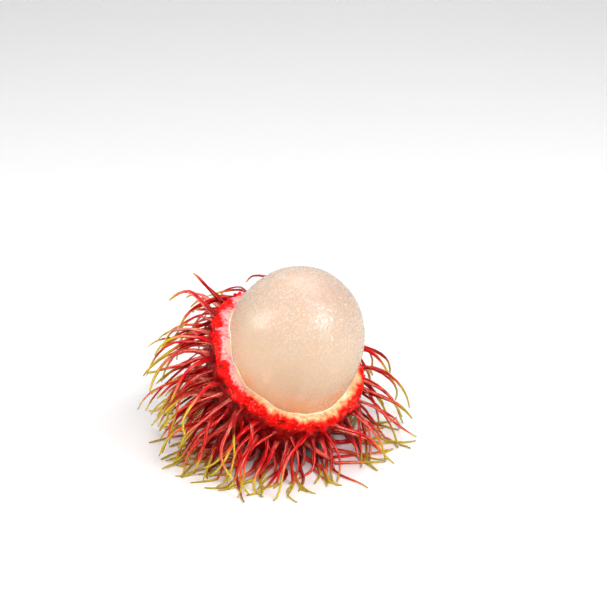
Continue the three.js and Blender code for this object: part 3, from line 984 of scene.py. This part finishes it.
class RAMBUTAN_OT_cup(bpy.types.Operator):
    """Adds the rind cup: a sphere with its upper half pushed down inside, torn along the fold"""

    bl_idname = "rambutan.cup"
    bl_label = "Rind cup"

    def execute(self, context):
        fruit = shape()
        spines = context.scene.rambutan_spines
        deselect()
        bpy.ops.mesh.primitive_uv_sphere_add(segments=CUP_TURNS, ring_count=CUP_ROWS, radius=1)
        piece = fresh_object("rind_with_spines")
        ball = places_of(piece)
        turn = np.arctan2(ball[:, 1], ball[:, 0])
        row = np.rint((np.arcsin(np.clip(ball[:, 2], -1, 1)) / math.pi + 0.5) * CUP_ROWS)
        lip = rim_height(fruit, turn)
        frayed = ripple(turn, FRAYED_RIPPLES) / sum(share for _, _, share in FRAYED_RIPPLES)
        outer_lip = lip - fruit.lip_drop + fruit.frayed * frayed
        radius, height, outer_height = cup_profile(fruit, row, lip, outer_lip)
        places = np.stack([radius * np.cos(turn), radius * np.sin(turn), height], 1)
        set_places(piece, stand(fruit, places))

        outside = row <= CUP_OUTER_ROWS
        inside = row >= CUP_EDGE_ROW
        across = torn_share(row)
        below = outer_height - height
        places = places_of(piece)
        knob = knob_shares(places, spine_sites(fruit, spines)[0], fruit.knob_width)
        knob = np.where(outside, knob, 0) * ease(below, *KNOBS_FROM)
        normals = np.empty(len(places) * 3, np.float32)
        piece.data.vertex_normals.foreach_get("vector", normals)
        set_places(piece, places + normals.reshape(-1, 3) * (fruit.knob * knob)[:, None])
        skin = np.where(outside, ease(below, *PITS_FROM), 0)
        roughen(piece, "skin_pits", "CLOUDS", fruit.pit_size, fruit.pitted, skin)
        wet = np.where(outside, 1 - ease(below, *BEADS_TO), 1 - ease(across, *FACE_BEADS_TO))
        wet = np.where(inside, 0, wet)
        roughen(piece, "wet_beads", "VORONOI", fruit.bead_size, -fruit.beads, wet)
        face = ease(across, *UNEVEN_FROM) * (1 - ease(across, *UNEVEN_TO))
        face = np.where(outside | inside, 0, face)
        roughen(piece, "torn_face", "CLOUDS", fruit.uneven_size, fruit.uneven, face)
        places = places_of(piece)
        places[:, 2] = np.maximum(places[:, 2], 0)
        set_places(piece, places)
        choose(piece, row == CUP_EDGE_ROW)
        bpy.ops.mesh.mark_sharp()
        bpy.ops.object.mode_set(mode="OBJECT")

        torn = np.where(outside, -np.clip(below / TORN_REACH, 0, 1), across)
        torn = np.where(inside, 1.0, torn)
        set_values(piece, torn=torn, knob=knob, along=0.0, spine=0.0, luck=0.5, tone=0.5)
        circle = np.stack([np.cos(turn), np.sin(turn)], 1) * fruit.aril_radius
        set_vectors(piece, "strand", np.column_stack([circle, torn * FIBRE_DEPTH]))
        return {"FINISHED"}


class RAMBUTAN_OT_spines(bpy.types.Operator):
    """Grows the soft spines out of the cup's knobs and joins them to it"""

    bl_idname = "rambutan.spines"
    bl_label = "Spines"

    def execute(self, context):
        fruit = shape()
        spines = context.scene.rambutan_spines
        cup = bpy.data.objects["rind_with_spines"]
        straight = self.one_spine()
        pattern = places_of(straight)
        share = np.clip(pattern[:, 2], 0, 1)
        roots, aways, lucks = spine_sites(fruit, spines)
        pieces = []
        for line, radius, length, drawn in zip(*spine_lines(spines, roots, aways, lucks), lucks):
            luck = dict(zip(CHANCES, drawn))
            out = share * length - spines.root
            along = np.clip(out / (length - spines.root), 0, 1)
            piece = bpy.data.objects.new("spine", straight.data.copy())
            context.scene.collection.objects.link(piece)
            set_places(piece, bent_spine(pattern, line, radius, out, luck))
            blend = np.clip(along / BLEND_SHARE, 0, 1)
            set_values(piece, along=along, spine=blend, torn=-1.0, knob=1.0,
                       luck=luck["stunted"], tone=luck["splay_y"])
            grain = out * GRAIN_LENGTH + luck["splay_x"]
            strand = np.column_stack([pattern[:, :2] * GRAIN_WIDTH, grain])
            set_vectors(piece, "strand", strand)
            pieces.append(piece)
        bpy.data.objects.remove(straight)
        activate(cup)
        for piece in pieces:
            piece.select_set(True)
        bpy.ops.object.join()
        finish_piece(cup, rind_material(context.scene.rambutan_colours), "rind")
        return {"FINISHED"}

    @staticmethod
    def one_spine():
        """One straight spine of unit radius and length, drawn up ring by ring to a closed tip."""
        deselect()
        bpy.ops.mesh.primitive_circle_add(vertices=SPINE_SIDES, radius=1, fill_type="NGON")
        piece = fresh_object("straight_spine")
        bpy.ops.object.mode_set(mode="EDIT")
        bpy.ops.mesh.select_all(action="SELECT")
        for low, high in zip(SPINE_STATIONS, SPINE_STATIONS[1:]):
            bpy.ops.mesh.extrude_region_move(TRANSFORM_OT_translate={"value": (0, 0, high - low)})
        bpy.ops.mesh.merge(type="COLLAPSE")
        bpy.ops.mesh.select_all(action="SELECT")
        bpy.ops.mesh.normals_make_consistent(inside=False)
        bpy.ops.object.mode_set(mode="OBJECT")
        return piece


class RAMBUTAN_OT_stage(bpy.types.Operator):
    """Adds the plain pale floor, the soft light panels and the camera"""

    bl_idname = "rambutan.stage"
    bl_label = "Stage"

    def execute(self, context):
        stage = context.scene.rambutan_stage
        fruit = shape()
        deselect()
        bpy.ops.mesh.primitive_plane_add(size=FLOOR_SIZE)
        floor = fresh_object("floor")
        floor.data.materials.append(floor_material(context.scene.rambutan_colours))
        centre = Vector(fruit.centre)
        for name, (toward, distance, size, lights, shines) in PANELS.items():
            panel = self.panel(name, centre, toward, distance, size, getattr(stage, name))
            panel.visible_diffuse = lights
            panel.visible_glossy = shines
        world = context.scene.world or bpy.data.worlds.new("pale_room")
        context.scene.world = world
        world.use_nodes = True
        background = next(node for node in world.node_tree.nodes
                          if node.type == "BACKGROUND")
        background.inputs["Color"].default_value = (1, 1, 1, 1)
        seen = world.node_tree.nodes.new("ShaderNodeLightPath").outputs["Is Camera Ray"]
        bright = world.node_tree.nodes.new("ShaderNodeMath")
        bright.operation = "MAXIMUM"
        bright.inputs[1].default_value = stage.surround
        world.node_tree.links.new(seen, bright.inputs[0])
        world.node_tree.links.new(bright.outputs[0], background.inputs["Strength"])
        view = context.scene.view_settings
        view.view_transform = "Standard"
        view.exposure = stage.exposure
        view.gamma = stage.gamma

        back = Vector((0, -math.cos(stage.elevation), math.sin(stage.elevation)))
        up = Vector((0, math.sin(stage.elevation), math.cos(stage.elevation)))
        bpy.ops.object.camera_add()
        camera = context.object
        camera.name = "camera"
        aim = centre + Vector((1, 0, 0)) * stage.right_of_aril + up * stage.above_aril
        camera.location = aim + back * stage.distance
        camera.rotation_euler = (-back).to_track_quat("-Z", "Y").to_euler()
        camera.data.lens = stage.lens
        camera.data.sensor_width = SENSOR_WIDTH
        camera.data.clip_start = NEAREST_SEEN
        context.scene.camera = camera
        return {"FINISHED"}

    @staticmethod
    def panel(name, centre, toward, distance, size, power):
        """One square panel that faces the aril."""
        direction = Vector(toward).normalized()
        bpy.ops.object.light_add(type="AREA")
        light = bpy.context.object
        light.name = name + "_panel"
        light.data.size = size
        light.data.energy = power
        light.location = centre + direction * distance
        light.rotation_euler = (-direction).to_track_quat("-Z", "Y").to_euler()
        return light


class RAMBUTAN_PT_panel(bpy.types.Panel):
    """Lists the rambutan's pieces and sizes"""

    bl_idname = "RAMBUTAN_PT_panel"
    bl_label = "Rambutan"
    bl_space_type = "VIEW_3D"
    bl_region_type = "UI"
    bl_category = "Rambutan"

    def draw(self, context):
        for operator in OPERATORS:
            self.layout.operator(operator.bl_idname)
        for group, name in GROUPS.items():
            box = self.layout.box()
            box.label(text=group.__doc__)
            for setting in group.__annotations__:
                box.prop(getattr(context.scene, name), setting)


GROUPS = {
    RambutanShape: "rambutan_shape",
    RambutanSpines: "rambutan_spines",
    RambutanColours: "rambutan_colours",
    RambutanStage: "rambutan_stage",
}
OPERATORS = (RAMBUTAN_OT_aril, RAMBUTAN_OT_cup, RAMBUTAN_OT_spines, RAMBUTAN_OT_stage)


def register():
    for cls in (*GROUPS, *OPERATORS, RAMBUTAN_PT_panel):
        bpy.utils.register_class(cls)
    for group, name in GROUPS.items():
        setattr(bpy.types.Scene, name, PointerProperty(type=group))


def unregister():
    for name in GROUPS.values():
        delattr(bpy.types.Scene, name)
    for cls in (RAMBUTAN_PT_panel, *reversed(OPERATORS), *reversed(GROUPS)):
        bpy.utils.unregister_class(cls)


def main():
    register()
    bpy.ops.rambutan.aril()
    bpy.ops.rambutan.cup()
    bpy.ops.rambutan.spines()
    bpy.ops.rambutan.stage()
    deselect()


if __name__ == "__main__":
    main()
